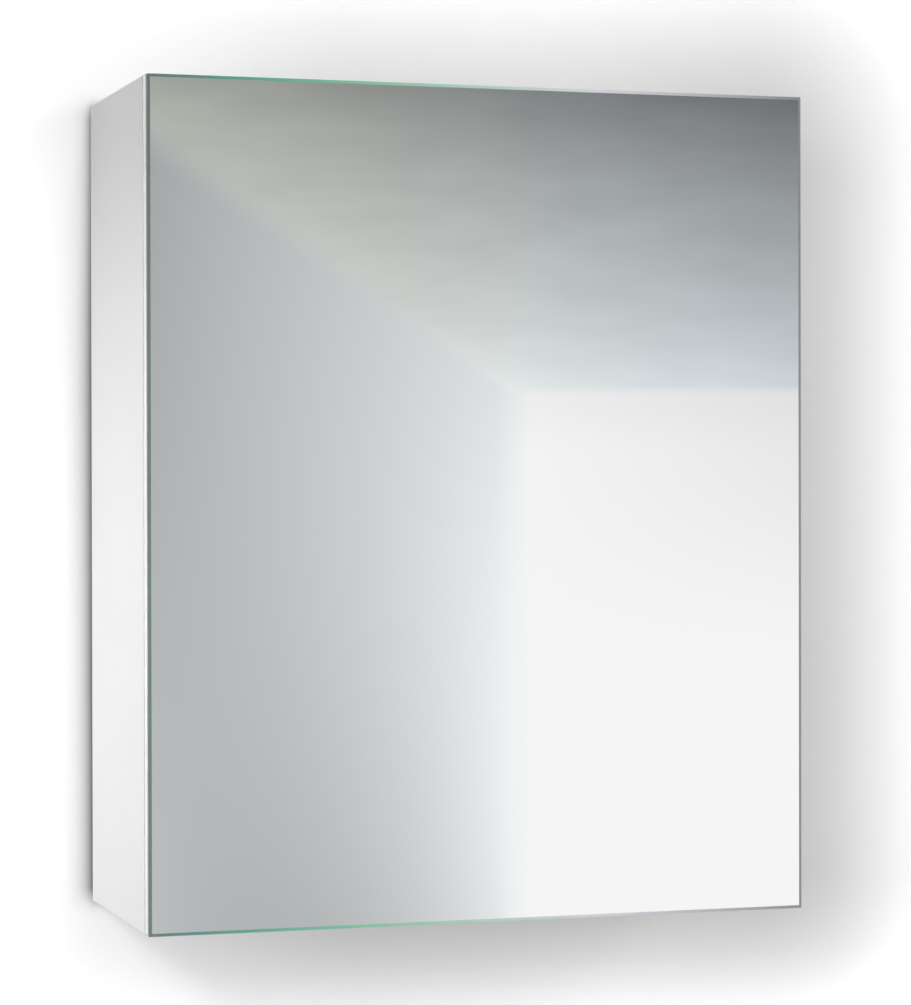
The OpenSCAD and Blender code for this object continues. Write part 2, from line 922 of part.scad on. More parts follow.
module door_board() {
    color("white")
        difference() {
            translate([0, door_back_y, z_mid])
                eased_plate(cabinet_w, cabinet_h, door_board_t, ease, ease, ease, ease);
            leaf_seat_cut(door_back_y, -1);
            at_hinge_screws(hinge_y - knuckle_bore_r, -1)
                countersunk_hole(door_screw);
            at_strike_screw() countersunk_hole(door_screw);
        }
}

// Strips of double-sided tape: a frame near the edge and two uprights between
module mirror_tape() {
    tall = cabinet_h - 2 * tape_inset;
    wide = cabinet_w - 2 * tape_inset;
    upright_gap = (wide - tape_w) / (tape_upright_n - 1);
    color("whitesmoke")
        translate([0, board_front_y - tape_t, z_mid]) {
            for (i = [0 : tape_upright_n - 1])
                translate([-wide / 2 + i * upright_gap, 0, -tall / 2])
                    cube([tape_w, tape_t, tall]);
            for (i = [0 : tape_upright_n - 2], up = [-1, 1])
                translate([
                    -wide / 2 + tape_w + i * upright_gap, 0,
                    up * (tall - tape_w) / 2 - tape_w / 2
                ])
                    cube([upright_gap - tape_w, tape_t, tape_w]);
        }
}

module mirror_glass() {
    color("lightsteelblue")
        translate([0, mirror_back_y, z_mid])
            eased_plate(cabinet_w, cabinet_h, mirror_t, bevel_w, bevel_drop);
}

module at_strike_screw() {
    translate([catch_x, door_back_y + strike_t, catch_z])
        rotate([-90, 0, 0])
            children();
}

// Steel plate with round ends
module catch_strike() {
    color("silver")
        difference() {
            translate([catch_x, door_back_y + strike_t, catch_z])
                rotate([90, 0, 0])
                    linear_extrude(strike_t)
                        union() {
                            square([strike_w, strike_l - strike_w], center = true);
                            for (up = [-1, 1])
                                translate([0, up * (strike_l - strike_w) / 2])
                                    circle(d = strike_w);
                        }
            at_strike_screw() countersunk_hole(door_screw);
        }
}

module strike_screw() {
    color("silver")
        at_strike_screw() countersunk_screw(door_screw);
}

// Carries a door piece round the hinge pin to the drawn angle
module on_door() {
    translate([hinge_x, hinge_y, 0])
        rotate([0, 0, door_angle])
            translate([-hinge_x, -hinge_y, 0])
                children();
}

side_left();
side_right();
top_panel();
bottom_panel();
back_panel();
dowels();
cam_bolts();
cam_discs();
cam_caps();
shelf_lower();
shelf_upper();
shelf_pins();
shelf_pads();
hanger_housing_left();
hanger_housing_right();
hanger_hook_left();
hanger_hook_right();
hanger_adjusters();
hanger_screws();
wall_plate_left();
wall_plate_right();
catch_housing();
catch_magnet();
catch_poles();
catch_screws();
door_bumpers();
hinge_leaf_cabinet();
hinge_pin();
hinge_screws_cabinet();
on_door() hinge_leaf_door();
on_door() hinge_screws_door();
on_door() door_board();
on_door() mirror_tape();
on_door() mirror_glass();
on_door() catch_strike();
on_door() strike_screw();
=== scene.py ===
"""Finish and setting of a wall-hung mirror cabinet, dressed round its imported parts.

Each sub-assembly of the cabinet is a class that knows its own sizes and coats its
own pieces. Every length is in metres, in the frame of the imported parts: X runs to
the right, Y into the wall and Z up, and the wall is the plane Y = 0.
"""

import logging
import math
from dataclasses import dataclass, field
from enum import Enum

import bpy
import numpy as np
from mathutils import Matrix, Vector


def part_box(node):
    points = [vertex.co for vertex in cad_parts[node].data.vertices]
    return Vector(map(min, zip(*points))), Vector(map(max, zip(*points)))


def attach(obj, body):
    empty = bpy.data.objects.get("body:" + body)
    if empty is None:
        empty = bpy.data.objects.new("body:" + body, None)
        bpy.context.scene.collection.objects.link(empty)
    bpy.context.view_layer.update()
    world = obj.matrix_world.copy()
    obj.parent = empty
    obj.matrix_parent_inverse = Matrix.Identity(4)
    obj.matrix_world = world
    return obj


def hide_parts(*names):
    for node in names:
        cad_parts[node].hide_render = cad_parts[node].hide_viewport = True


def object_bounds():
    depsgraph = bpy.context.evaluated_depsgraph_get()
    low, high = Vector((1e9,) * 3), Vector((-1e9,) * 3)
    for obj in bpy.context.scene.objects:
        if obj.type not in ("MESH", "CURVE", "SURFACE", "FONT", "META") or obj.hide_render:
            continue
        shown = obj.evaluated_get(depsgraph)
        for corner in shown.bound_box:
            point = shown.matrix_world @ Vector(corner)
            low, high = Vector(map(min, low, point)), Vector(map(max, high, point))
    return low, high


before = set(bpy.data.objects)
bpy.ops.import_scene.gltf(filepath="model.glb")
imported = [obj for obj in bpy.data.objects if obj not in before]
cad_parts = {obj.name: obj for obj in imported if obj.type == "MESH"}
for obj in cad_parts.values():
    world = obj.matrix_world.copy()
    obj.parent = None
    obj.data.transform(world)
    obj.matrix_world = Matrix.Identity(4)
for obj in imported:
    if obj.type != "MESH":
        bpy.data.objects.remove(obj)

CAD_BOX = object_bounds()
LOG = logging.getLogger("mirror_cabinet")

Colour = tuple[float, float, float]
Point = tuple[float, float, float]
Socket = bpy.types.NodeSocket

# Half the width and height of the cabinet, and the height of its middle.
HALF_WIDTH = 0.25
HALF_HEIGHT = 0.305
MIDDLE_Z = -0.221

# Point that most lamps are aimed at.
AIM: Point = (0.0, 0.0, -0.22)

# Range in which most of a noise lies.
NOISE_RANGE = (0.3, 0.7)
BLACK: Colour = (0.0, 0.0, 0.0)


class Body(Enum):
    """The two moving bodies of the cabinet."""

    CABINET = "cabinet"
    DOOR = "door"


class Axis(Enum):
    """Direction of a grain or of a polishing mark."""

    X = 0
    Y = 1
    Z = 2


def linear(red: int, green: int, blue: int) -> Colour:
    """Turns a tone from 0 to 255, as it looks, into light.

    Args:
        red: Red share.
        green: Green share.
        blue: Blue share.

    Returns:
        The same tone as linear red, green and blue from 0 to 1.
    """
    tones = (red / 255.0, green / 255.0, blue / 255.0)
    return tuple(t / 12.92 if t < 0.04045 else ((t + 0.055) / 1.055) ** 2.4 for t in tones)


class Signal:
    """A number that varies over a surface: the output of a node, ready for sums."""

    def __init__(self, graph: "Graph", socket: Socket) -> None:
        """Keeps the graph and the number's socket."""
        self.graph = graph
        self.socket = socket

    def __add__(self, other: "Signal | float") -> "Signal":
        """Sum of two signals."""
        return self.graph.maths("ADD", self, other)

    def __sub__(self, other: "Signal | float") -> "Signal":
        """This signal less another."""
        return self.graph.maths("SUBTRACT", self, other)

    def __rsub__(self, other: float) -> "Signal":
        """A number less this signal."""
        return self.graph.maths("SUBTRACT", other, self)

    def __mul__(self, other: "Signal | float") -> "Signal":
        """Product of two signals."""
        return self.graph.maths("MULTIPLY", self, other)

    def __truediv__(self, other: "Signal | float") -> "Signal":
        """This signal divided by another."""
        return self.graph.maths("DIVIDE", self, other)

    def __lt__(self, other: "Signal | float") -> "Signal":
        """One where this signal is the smaller, or else nought."""
        return self.graph.maths("LESS_THAN", self, other)

    def __gt__(self, other: "Signal | float") -> "Signal":
        """One where this signal is the larger, or else nought."""
        return self.graph.maths("GREATER_THAN", self, other)

    def power(self, exponent: float) -> "Signal":
        """This signal raised to a power."""
        return self.graph.maths("POWER", self, exponent)

    def size(self) -> "Signal":
        """This signal without its sign."""
        return self.graph.maths("ABSOLUTE", self)

    def at_least(self, other: "Signal | float") -> "Signal":
        """The larger of two signals."""
        return self.graph.maths("MAXIMUM", self, other)

    def step(self, low: float, high: float, start: float = 0.0, end: float = 1.0) -> "Signal":
        """Carries this signal smoothly from one value to another.

        Args:
            low: Value of this signal where the change starts.
            high: Value of this signal where the change ends.
            start: Result up to low.
            end: Result from high on.

        Returns:
            The smoothed signal.
        """
        inputs = dict(enumerate((self, low, high, start, end)))
        return self.graph.signal(0, "ShaderNodeMapRange", inputs, interpolation_type="SMOOTHSTEP")

    def within(self, low: float, high: float) -> "Signal":
        """This signal kept between two numbers."""
        return self.graph.maths("MINIMUM", self.at_least(low), high)

    def powers(self, factors: tuple[float, ...]) -> "Signal":
        """Sum of factor k times this signal to the power k.

        Args:
            factors: Factors from power 0 up, two or more.

        Returns:
            The sum.
        """
        total = self * factors[-1]
        for factor in factors[-2:0:-1]:
            total = (total + factor) * self
        return total + factors[0]


class Graph:
    """The nodes of one finish or of the surroundings, with short calls for them."""

    def __init__(self, tree: bpy.types.NodeTree) -> None:
        """Empties the tree and keeps it."""
        self.tree = tree
        tree.nodes.clear()

    def node(
        self, kind: str, inputs: dict[int | str, object] | None = None, **settings: object
    ) -> bpy.types.Node:
        """Adds a node.

        Args:
            kind: Kind of the node.
            inputs: What goes into its inputs, by number or name.
            settings: Its other settings.

        Returns:
            The new node.
        """
        node = self.tree.nodes.new(kind)
        for name, value in settings.items():
            setattr(node, name, value)
        for key, value in (inputs or {}).items():
            self.put(node.inputs[key], value)
        return node

    def put(self, socket: Socket, value: object) -> None:
        """Fills an input of a node.

        Args:
            socket: Input to fill.
            value: Signal or socket to link, or plain value to set. None is left out.
        """
        if isinstance(value, Signal):
            value = value.socket
        if isinstance(value, Socket):
            self.tree.links.new(value, socket)
        elif value is not None:
            socket.default_value = (*value, 1.0) if socket.type == "RGBA" else value

    def signal(self, output: int | str, kind: str, inputs: dict, **settings: object) -> Signal:
        """Adds a node and takes one of its outputs as a signal."""
        return Signal(self, self.node(kind, inputs, **settings).outputs[output])

    def maths(self, operation: str, *values: Signal | float) -> Signal:
        """Works out one sum from one or two signals or numbers."""
        return self.signal(0, "ShaderNodeMath", dict(enumerate(values)), operation=operation)

    def dot(self, vector: Socket, direction: Point) -> Signal:
        """Length of a vector along a fixed direction."""
        inputs = {0: vector, 1: direction}
        return self.signal("Value", "ShaderNodeVectorMath", inputs, operation="DOT_PRODUCT")

    def ray(self, kind: str) -> Signal:
        """One for rays of this kind, and nought for others."""
        return self.signal(f"Is {kind} Ray", "ShaderNodeLightPath", {})

    def place(self) -> Socket:
        """Place on the piece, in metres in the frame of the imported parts."""
        return self.node("ShaderNodeTexCoord").outputs["Object"]

    def split(self, vector: Socket) -> tuple[Signal, Signal, Signal]:
        """The three parts of a vector."""
        node = self.node("ShaderNodeSeparateXYZ", {0: vector})
        return tuple(Signal(self, out) for out in node.outputs)

    def join(self, x: Signal, y: Signal, z: Signal | float) -> Socket:
        """A vector from three signals."""
        return self.node("ShaderNodeCombineXYZ", {0: x, 1: y, 2: z}).outputs[0]

    def stretch(self, vector: Socket, factors: Point) -> Socket:
        """Scales a vector by a factor along each axis."""
        return self.node("ShaderNodeMapping", {"Vector": vector, "Scale": factors}).outputs[0]

    def noise(self, vector: Socket, scale: float, detail: float = 2.0) -> Signal:
        """Soft random signal from 0 to 1, with this many lumps to the metre."""
        inputs = {"Vector": vector, "Scale": scale, "Detail": detail}
        return self.signal("Fac", "ShaderNodeTexNoise", inputs)

    def cells(self, vector: Socket, scale: float, feature: str = "F1") -> Signal:
        """Distance to the nearest of many random points, with this many to the metre."""
        inputs = {"Vector": vector, "Scale": scale}
        return self.signal("Distance", "ShaderNodeTexVoronoi", inputs, feature=feature)

    def blend(self, share: object, first: object, second: object, how: str = "MIX") -> Socket:
        """Mixes two colours: the first at share 0, the second at share 1."""
        inputs = {0: share, 6: first, 7: second}
        return self.node("ShaderNodeMix", inputs, data_type="RGBA", blend_type=how).outputs[2]

    def ramp(self, share: Signal, stops: tuple[tuple[float, Colour], ...]) -> Socket:
        """Colour that runs through a row of stops.

        Args:
            share: Signal from 0 to 1.
            stops: Places of the stops along it, each with its colour.

        Returns:
            Socket of the colour.
        """
        node = self.node("ShaderNodeValToRGB", {0: share})
        points = node.color_ramp.elements
        while len(points) < len(stops):
            points.new(0.5)
        for point, (place, colour) in zip(points, stops):
            point.position = place
            point.color = (*colour, 1.0)
        return node.outputs[0]

    def eased(self, radius: float) -> Socket:
        """Normal of the surface with its sharp edges rounded to this radius."""
        return self.node("ShaderNodeBevel", {"Radius": radius}, samples=6).outputs[0]

    def bump(self, height: Signal, depth: float, over: Socket | None = None) -> Socket:
        """Normal of a relief from 0 to 1 of this depth in metres, over another normal."""
        inputs = {"Distance": depth, "Height": height, "Normal": over}
        return self.node("ShaderNodeBump", inputs).outputs[0]

    def shader(self, **values: object) -> Socket:
        """Output of the main surface shader, with its inputs named in words."""
        inputs = {name.replace("_", " "): value for name, value in values.items()}
        return self.node("ShaderNodeBsdfPrincipled", inputs).outputs[0]


@dataclass(frozen=True)
class Finish:
    """A surface finish. Each kind paints its own nodes.

    Scales of noise are in lumps to the metre and depths of relief in metres. Smooth
    and rough are the ends of the roughness.
    """

    name: str

    def material(self) -> bpy.types.Material:
        """Makes the finish once and hands out the same one after that.

        Returns:
            The material of the finish.
        """
        made = bpy.data.materials.get(self.name)
        if made is None:
            made = bpy.data.materials.new(self.name)
            made.use_nodes = True
            graph = Graph(made.node_tree)
            graph.node("ShaderNodeOutputMaterial", {"Surface": self.paint(graph)})
        return made

    def paint(self, graph: Graph) -> Socket:
        """Adds the nodes of this finish.

        Args:
            graph: Graph to paint in.

        Returns:
            Socket of the surface.
        """
        raise NotImplementedError


@dataclass(frozen=True)
class Lacquer(Finish):
    """White gloss lacquer on board, with a faint orange peel and slow tone drift."""

    pale: Colour = (0.825, 0.827, 0.826)
    shade: Colour = (0.812, 0.814, 0.813)
    drift: float = 5.0
    wipe: float = 12.0
    grain: float = 480.0
    peel: float = 0.000003
    smooth: float = 0.29
    rough: float = 0.34
    gloss: float = 0.22
    coat: float = 0.0
    coat_rough: float = 0.03
    edge_r: float = 0.001

    def tone(self, graph: Graph, place: Socket) -> Socket:
        """White that drifts over a hand's width."""
        drift = graph.noise(place, self.drift).step(*NOISE_RANGE)
        return graph.blend(drift, self.shade, self.pale)

    def paint(self, graph: Graph) -> Socket:
        """Drifts the tone, ripples the coat and eases the edges.

        Args:
            graph: Graph to paint in.

        Returns:
            Socket of the surface.
        """
        place = graph.place()
        grain = graph.noise(place, self.grain)
        return graph.shader(
            Base_Color=self.tone(graph, place),
            Roughness=graph.noise(place, self.wipe).step(*NOISE_RANGE, self.smooth, self.rough),
            Specular_IOR_Level=self.gloss,
            Coat_Weight=self.coat,
            Coat_Roughness=self.coat_rough,
            Normal=graph.bump(grain, self.peel, graph.eased(self.edge_r)),
        )


@dataclass(frozen=True)
class BandedLacquer(Lacquer):
    """Lacquered board whose edges are whiter and well rounded.

    The whiter edges are partly a brighter edging and partly a painted highlight.
    """

    smooth: float = 0.2
    rough: float = 0.26
    gloss: float = 1.0
    coat: float = 1.0
    coat_rough: float = 0.06
    edge_r: float = 0.0042
    # Edge colour: a brighter edging with a painted highlight on it.
    band_and_highlight: Colour = (0.95, 0.95, 0.948)
    band_depth: float = 0.0004

    def tone(self, graph: Graph, place: Socket) -> Socket:
        """Whitens the edges, partly as a painted highlight.

        Args:
            graph: Graph to paint in.
            place: Place on the board.

        Returns:
            Socket of the colour.
        """
        x, _y, z = graph.split(place)
        at_side = x.size() > HALF_WIDTH - self.band_depth
        at_end = (z - MIDDLE_Z).size() > HALF_HEIGHT - self.band_depth
        return graph.blend(at_side.at_least(at_end), super().tone(graph, place), self.band_and_highlight)


@dataclass(frozen=True)
class CoatedHardboard(Finish):
    """Thin board, white where it faces the shelves and raw fibre at the rear."""

    split_y: float = -0.0185
    white: Colour = (0.85, 0.855, 0.85)
    pale_white: Colour = (0.87, 0.873, 0.87)
    fibre: Colour = (0.37, 0.245, 0.15)
    dark_fibre: Colour = (0.285, 0.182, 0.108)
    drift: float = 14.0
    clouds: float = 22.0
    cloud_share: float = 0.35
    fibres: float = 900.0
    sieve: float = 2600.0
    sieve_share: float = 0.5
    coat_share: float = 0.2
    coat_rough: float = 0.4
    rear_rough: float = 0.85
    depth: float = 0.00012

    def paint(self, graph: Graph) -> Socket:
        """Puts pressed fibre with its sieve pattern behind the dividing plane.

        The sieve pattern is sin(sieve * x) * sin(sieve * z).

        Args:
            graph: Graph to paint in.

        Returns:
            Socket of the surface.
        """
        place = graph.place()
        x, y, z = graph.split(place)
        rear = y > self.split_y
        fibres = graph.noise(graph.stretch(place, (1.0, 1.0, 0.6)), self.fibres, 6.0)
        sieve = graph.maths("SINE", x * self.sieve) * graph.maths("SINE", z * self.sieve)
        clouds = graph.noise(place, self.clouds, 3.0) * self.cloud_share
        raw = graph.blend((fibres + clouds).step(0.35, 0.95), self.dark_fibre, self.fibre)
        drift = graph.noise(place, self.drift).step(*NOISE_RANGE)
        skin = (1.0 - rear) * graph.noise(place, self.fibres) * self.coat_share
        relief = rear * (sieve * self.sieve_share + fibres) + skin
        return graph.shader(
            Base_Color=graph.blend(rear, graph.blend(drift, self.white, self.pale_white), raw),
            Roughness=rear * (self.rear_rough - self.coat_rough) + self.coat_rough,
            Normal=graph.bump(relief, self.depth),
        )


@dataclass(frozen=True)
class Beech(Finish):
    """Turned beech with fine fibres along the dowel and short dark flecks."""

    pale: Colour = (0.66, 0.45, 0.27)
    dark: Colour = (0.42, 0.25, 0.13)
    fibres: Point = (60.0, 900.0, 900.0)
    flecks: Point = (260.0, 1500.0, 1500.0)
    fleck_tone: float = 0.55
    smooth: float = 0.55
    rough: float = 0.72
    depth: float = 0.00005

    def paint(self, graph: Graph) -> Socket:
        """Stretches noise along the dowel for the fibres and the flecks.

        Args:
            graph: Graph to paint in.

        Returns:
            Socket of the surface.
        """
        place = graph.place()
        fibres = graph.noise(graph.stretch(place, self.fibres), 1.0, 5.0)
        flecks = graph.cells(graph.stretch(place, self.flecks), 1.0)
        shade = fibres.step(0.3, 0.75) * flecks.step(0.05, 0.35, self.fleck_tone, 1.0)
        return graph.shader(
            Base_Color=graph.blend(shade, self.dark, self.pale),
            Roughness=fibres.step(0.2, 0.8, self.rough, self.smooth),
            Normal=graph.bump(fibres, self.depth),
        )


@dataclass(frozen=True)
class PlatedSteel(Finish):
    """Plated sheet or wire with polishing lines along one axis and cloudy tone."""

    base: Colour = (0.66, 0.67, 0.69)
    cloud: Colour = (0.58, 0.585, 0.58)
    grain: Axis = Axis.Z
    smooth: float = 0.2
    rough: float = 0.34
    lines: float = 5200.0
    draw: float = 0.02
    clouds: float = 130.0
    depth: float = 0.000008

    def paint(self, graph: Graph) -> Socket:
        """Draws noise out along the polishing direction for roughness and relief.

        Args:
            graph: Graph to paint in.

        Returns:
            Socket of the surface.
        """
        place = graph.place()
        factors = tuple(self.draw if axis is self.grain else 1.0 for axis in Axis)
        lines = graph.noise(graph.stretch(place, factors), self.lines, 3.0)
        clouds = graph.noise(place, self.clouds, 4.0)
        return graph.shader(
            Base_Color=graph.blend(clouds.step(*NOISE_RANGE), self.cloud, self.base),
            Metallic=1.0,
            Roughness=lines.step(0.25, 0.75, self.smooth, self.rough),
            Normal=graph.bump(lines, self.depth),
        )


@dataclass(frozen=True)
class CastZinc(Finish):
    """Die-cast zinc with a dull grainy skin and small pits."""

    base: Colour = (0.5, 0.51, 0.52)
    pit: Colour = (0.3, 0.305, 0.31)
    grain: float = 1800.0
    pits: float = 700.0
    smooth: float = 0.38
    rough: float = 0.58
    depth: float = 0.00004

    def paint(self, graph: Graph) -> Socket:
        """Mixes a coarse grain with scattered pits.

        Args:
            graph: Graph to paint in.

        Returns:
            Socket of the surface.
        """
        place = graph.place()
        grain = graph.noise(place, self.grain, 3.0)
        pits = graph.cells(place, self.pits).step(0.05, 0.2)
        return graph.shader(
            Base_Color=graph.blend(pits, self.pit, self.base),
            Metallic=1.0,
            Roughness=grain.step(0.2, 0.8, self.smooth, self.rough),
            Normal=graph.bump(grain * pits, self.depth),
        )


@dataclass(frozen=True)
class MouldedPlastic(Finish):
    """Injection moulding with an eroded satin skin and faint flow marks."""

    base: Colour = (0.86, 0.865, 0.86)
    flow: Colour = (0.82, 0.825, 0.825)
    flow_marks: float = 160.0
    skin: float = 2600.0
    smooth: float = 0.36
    rough: float = 0.5
    depth: float = 0.00002

    def paint(self, graph: Graph) -> Socket:
        """Adds flow marks to the tone and a fine grain to the skin.

        Args:
            graph: Graph to paint in.

        Returns:
            Socket of the surface.
        """
        place = graph.place()
        flow = graph.noise(graph.stretch(place, (1.0, 1.0, 0.35)), self.flow_marks, 3.0)
        skin = graph.noise(place, self.skin)
        return graph.shader(
            Base_Color=graph.blend(flow.step(0.35, 0.7), self.flow, self.base),
            Roughness=skin.step(0.2, 0.8, self.smooth, self.rough),
            Normal=graph.bump(skin, self.depth),
        )


@dataclass(frozen=True)
class ShelfGlass(Finish):
    """Clear float glass, nearly colourless through its faces and green at its edges."""

    edge_x: float = 0.2305
    edge_y: float = -0.181
    clear: Colour = (0.94, 0.985, 0.97)
    edge: Colour = (0.3, 0.66, 0.55)
    index: float = 1.52

    def paint(self, graph: Graph) -> Socket:
        """Greens the outermost half millimetre of the shelf.

        Args:
            graph: Graph to paint in.

        Returns:
            Socket of the surface.
        """
        x, y, _z = graph.split(graph.place())
        rim = (x.size() > self.edge_x).at_least(y < self.edge_y)
        return graph.shader(
            Base_Color=graph.blend(rim, self.clear, self.edge),
            Roughness=0.0,
            IOR=self.index,
            Transmission_Weight=1.0,
        )


@dataclass(frozen=True)
class Silicone(Finish):
    """Clear soft silicone, milky and slightly dusty."""

    base: Colour = (0.86, 0.87, 0.87)
    dust: Colour = (0.77, 0.775, 0.76)
    dusting: float = 900.0
    skin: float = 2200.0
    clearness: float = 0.35
    index: float = 1.42
    smooth: float = 0.3
    rough: float = 0.46
    depth: float = 0.00001

    def paint(self, graph: Graph) -> Socket:
        """Lets some light through and dusts the skin.

        Args:
            graph: Graph to paint in.

        Returns:
            Socket of the surface.
        """
        place = graph.place()
        dust = graph.noise(place, self.dusting, 4.0)
        return graph.shader(
            Base_Color=graph.blend(dust.step(0.5, 0.75), self.base, self.dust),
            Roughness=dust.step(*NOISE_RANGE, self.smooth, self.rough),
            Transmission_Weight=self.clearness,
            IOR=self.index,
            Normal=graph.bump(graph.noise(place, self.skin), self.depth),
        )


@dataclass(frozen=True)
class Ferrite(Finish):
    """Sintered magnet: nearly black, with bright specks and a ground skin."""

    base: Colour = (0.05, 0.05, 0.054)
    speck: Colour = (0.16, 0.16, 0.17)
    specks: float = 1600.0
    ground: float = 700.0
    smooth: float = 0.42
    rough: float = 0.62
    depth: float = 0.00002

    def paint(self, graph: Graph) -> Socket:
        """Scatters specks and grinds the skin crossways.

        Args:
            graph: Graph to paint in.

        Returns:
            Socket of the surface.
        """
        place = graph.place()
        specks = graph.cells(place, self.specks).step(0.08, 0.22, 1.0, 0.0)
        ground = graph.noise(graph.stretch(place, (1.0, 1.0, 12.0)), self.ground, 3.0)
        return graph.shader(
            Base_Color=graph.blend(specks, self.base, self.speck),
            Roughness=ground.step(0.2, 0.8, self.smooth, self.rough),
            Normal=graph.bump(ground, self.depth),
        )


@dataclass(frozen=True)
class FoamTape(Finish):
    """White closed-cell foam tape."""

    base: Colour = (0.87, 0.87, 0.86)
    # Tone of the cell hollows: painted shade.
    cell: Colour = (0.7, 0.7, 0.69)
    cells: float = 2400.0
    smooth: float = 0.6
    rough: float = 0.85
    depth: float = -0.00008

    def paint(self, graph: Graph) -> Socket:
        """Shows the cut cells of the foam, with painted shade in their hollows.

        Args:
            graph: Graph to paint in.

        Returns:
            Socket of the surface.
        """
        cells = graph.cells(graph.place(), self.cells, "DISTANCE_TO_EDGE")
        wall = cells.step(0.02, 0.14)
        return graph.shader(
            Base_Color=graph.blend(wall, self.base, self.cell),
            Roughness=wall.step(0.0, 1.0, self.smooth, self.rough),
            Normal=graph.bump(wall, self.depth),
        )


@dataclass(frozen=True)
class SilveredFace(Finish):
    """Silvered glass seen from the front, clean but for a faint bloom."""

    tint: Colour = (0.955, 0.965, 0.962)
    bloom: float = 11.0
    smooth: float = 0.004
    rough: float = 0.016

    def paint(self, graph: Graph) -> Socket:
        """Mirrors with a roughness that wanders just above nought.

        Args:
            graph: Graph to paint in.

        Returns:
            Socket of the surface.
        """
        bloom = graph.noise(graph.stretch(graph.place(), (1.0, 1.0, 0.5)), self.bloom, 4.0)
        return graph.shader(
            Base_Color=self.tint,
            Metallic=1.0,
            Roughness=bloom.step(0.4, 0.8, self.smooth, self.rough),
        )


@dataclass(frozen=True)
class PolishedEdge(Finish):
    """Polished slope and edge of the glass.

    The long upper and lower slopes carry a painted reflection of the room over the green of
    the glass, from green through pale to grey, and painted shade makes the upper one a little
    darker than the lower. The upright ones carry painted light and shade: darker grey-green
    on the left, lighter grey on the right.
    """

    # Painted light and shade on the upright strips: darker grey-green left, lighter grey right.
    left: Colour = linear(123, 139, 134)
    right: Colour = linear(157, 160, 161)
    # Painted reflection of the room on the level slopes, over the green of the glass.
    stops: tuple[tuple[float, Colour], ...] = (
        (0.0, linear(128, 147, 143)),
        (0.08, linear(112, 172, 164)),
        (0.17, linear(117, 198, 175)),
        (0.3, linear(149, 223, 187)),
        (0.46, linear(197, 238, 215)),
        (0.67, linear(244, 248, 254)),
        (0.85, linear(210, 213, 219)),
        (1.0, linear(162, 166, 166)),
    )
    # Share of painted shade that darkens the upper slope.
    upper_painted_shade: float = 0.17
    polish: float = 300.0
    smooth: float = 0.08
    rough: float = 0.16
    index: float = 1.52
    gloss: float = 0.3

    def paint(self, graph: Graph) -> Socket:
        """Runs the painted reflection along X on the level slopes, mitred at the corners.

        Args:
            graph: Graph to paint in.

        Returns:
            Socket of the surface.
        """
        place = graph.place()
        x, _y, z = graph.split(place)
        # Painted reflection along the level slopes, then painted shade on the upper one.
        level = graph.ramp(x / (2.0 * HALF_WIDTH) + 0.5, self.stops)
        level = graph.blend((z > MIDDLE_Z) * self.upper_painted_shade, level, BLACK)
        # Uprights in their painted light and shade.
        upright = graph.blend(x > 0.0, self.left, self.right)
        from_side = HALF_WIDTH - x.size()
        from_end = HALF_HEIGHT - (z - MIDDLE_Z).size()
        polish = graph.noise(place, self.polish)
        return graph.shader(
            Base_Color=graph.blend(from_end < from_side, upright, level),
            Roughness=polish.step(*NOISE_RANGE, self.smooth, self.rough),
            IOR=self.index,
            Specular_IOR_Level=self.gloss,
        )


@dataclass(frozen=True)
class BackingPaint(Finish):
    """Grey protective paint behind the silver."""

    base: Colour = (0.2, 0.23, 0.22)
    thin: Colour = (0.27, 0.3, 0.29)
    runs: float = 240.0
    smooth: float = 0.45
    rough: float = 0.6
    depth: float = 0.00001

    def paint(self, graph: Graph) -> Socket:
        """Shows the run of the paint curtain.

        Args:
            graph: Graph to paint in.

        Returns:
            Socket of the surface.
        """
        runs = graph.noise(graph.stretch(graph.place(), (1.0, 1.0, 0.05)), self.runs, 3.0)
        return graph.shader(
            Base_Color=graph.blend(runs.step(*NOISE_RANGE), self.base, self.thin),
            Roughness=runs.step(*NOISE_RANGE, self.smooth, self.rough),
            Normal=graph.bump(runs, self.depth),
        )


WHITE_LACQUER = Lacquer("white_gloss_lacquer")
BANDED_BOARD = BandedLacquer("white_banded_board")
HARDBOARD = CoatedHardboard("coated_hardboard")
BEECH = Beech("beech")
ZINC_SHEET = PlatedSteel("zinc_plated_sheet", smooth=0.29, rough=0.42)
ZINC_WIRE = PlatedSteel("zinc_plated_fasteners", grain=Axis.X, smooth=0.28, rough=0.38)
NICKEL = PlatedSteel(
    "nickel_plated_hinge", (0.74, 0.73, 0.7), (0.72, 0.71, 0.68), smooth=0.16, rough=0.24
)
CASTING = CastZinc("cast_zinc")
WHITE_PLASTIC = MouldedPlastic("white_moulding")
GREY_PLASTIC = MouldedPlastic("light_grey_moulding", (0.6, 0.61, 0.615), (0.56, 0.57, 0.575))
GLASS = ShelfGlass("shelf_glass")
SILICONE = Silicone("clear_silicone")
MAGNET = Ferrite("ferrite")
TAPE = FoamTape("foam_tape")
SILVER = SilveredFace("silvered_face")
POLISHED_EDGE = PolishedEdge("polished_edge")
BACKING = BackingPaint("mirror_backing")


Coats = tuple[tuple[Finish, tuple[str, ...]], ...]


@dataclass
class SubAssembly:
    """A group of pieces that are made and finished together.

    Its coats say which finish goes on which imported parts.
    """

    coats: Coats = ()

    def build(self) -> None:
        """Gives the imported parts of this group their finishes."""
        for finish, names in self.coats:
            for name in names:
                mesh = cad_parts[name].data
                mesh.materials.clear()
                mesh.materials.append(finish.material())
                LOG.info("%s: %s", name, finish.name)


@dataclass
class Carcass(SubAssembly):
    """Sides, top, bottom and back."""

    coats: Coats = (
        (WHITE_LACQUER, ("side_left", "side_right", "top_panel", "bottom_panel")),
        (HARDBOARD, ("back_panel",)),
    )


